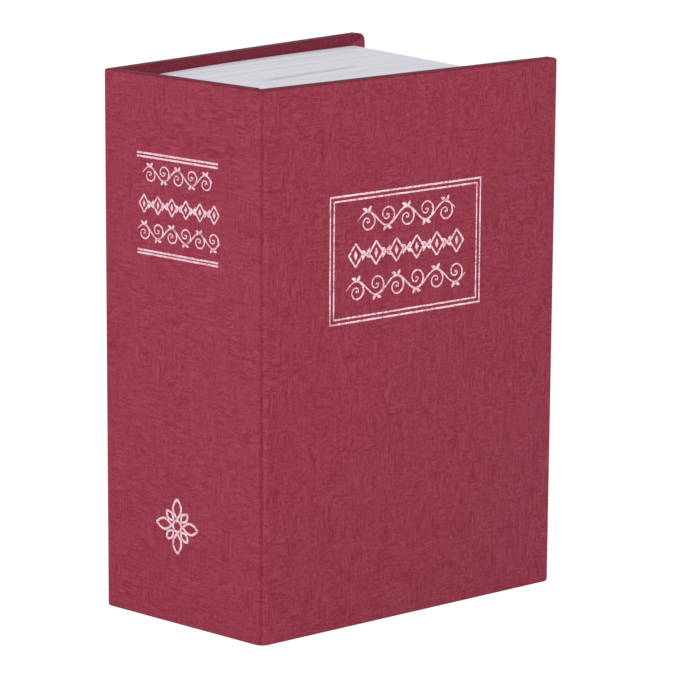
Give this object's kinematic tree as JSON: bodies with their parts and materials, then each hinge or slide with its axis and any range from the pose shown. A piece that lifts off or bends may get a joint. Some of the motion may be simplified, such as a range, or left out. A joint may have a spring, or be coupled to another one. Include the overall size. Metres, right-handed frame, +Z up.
{
  "type": "book diversion safe",
  "caption": "Small hardback book that hides a steel cash box: a paper-covered case round a moulded page block, with a hinged steel lid and a cam lock.",
  "frame": {"origin": "on the surface that the book stands on, under the middle of the bounding box at rest, with the front cover 9.4 degrees ajar", "axes": "+Z up along the spine, +X from the spine to the fore-edge, +Y from the front cover to the back cover"},
  "size_m": [0.0792, 0.0578, 0.115],
  "materials": {
    "board": "matte",
    "covering_paper": "matte",
    "endpaper": "matte",
    "page_plastic": "satin",
    "powder_coat": "satin",
    "zinc": "satin",
    "fixing_steel": "satin",
    "brass": "satin",
    "foam": "matte"
  },
  "bodies": {
    "case": {"spine_board": "board", "spine_paper": "covering_paper", "back_board": "board", "back_cover_paper": "covering_paper", "back_endpaper": "endpaper", "page_frame": "page_plastic", "tray": "powder_coat", "hinge_leaf": "powder_coat", "hinge_pin": "fixing_steel", "leaf_rivet_1": "fixing_steel", "leaf_rivet_2": "fixing_steel", "keeper": "fixing_steel", "tray_screw_1": "fixing_steel", "tray_screw_2": "fixing_steel", "tray_screw_3": "fixing_steel", "tray_screw_4": "fixing_steel", "foam_pad_1": "foam", "foam_pad_2": "foam"},
    "cover": {"front_board": "board", "front_cover_paper": "covering_paper", "front_endpaper": "endpaper"},
    "lid": {"lid": "powder_coat", "lock_housing": "zinc", "lock_washer": "fixing_steel", "lock_nut": "brass"},
    "lock_rotor": {"lock_plug": "zinc", "cam": "fixing_steel", "cam_screw": "fixing_steel", "wafer_1": "brass", "wafer_2": "brass", "wafer_3": "brass", "wafer_4": "brass"}
  },
  "joints": [
    {"name": "cover_hinge", "type": "hinge", "parent": "case", "child": "cover", "pos_m": [-0.03901, -0.01554, 0.0575], "axis": [0, 0, -1], "range_deg": [-9.4, 170.6]},
    {"name": "lid_hinge", "type": "hinge", "parent": "case", "child": "lid", "pos_m": [-0.02745, -0.01132, 0.0575], "axis": [0, 0, -1], "range_deg": [0, 110]},
    {"name": "lock_turn", "type": "hinge", "parent": "lid", "child": "lock_rotor", "pos_m": [0.0186, -0.00412, 0.0575], "axis": [0, 1, 0], "range_deg": [0, 90]}
  ],
  "couplings": [
    {"joint": "cover_hinge", "follows": "lid_hinge", "ratio": 1.5509}
  ]
}
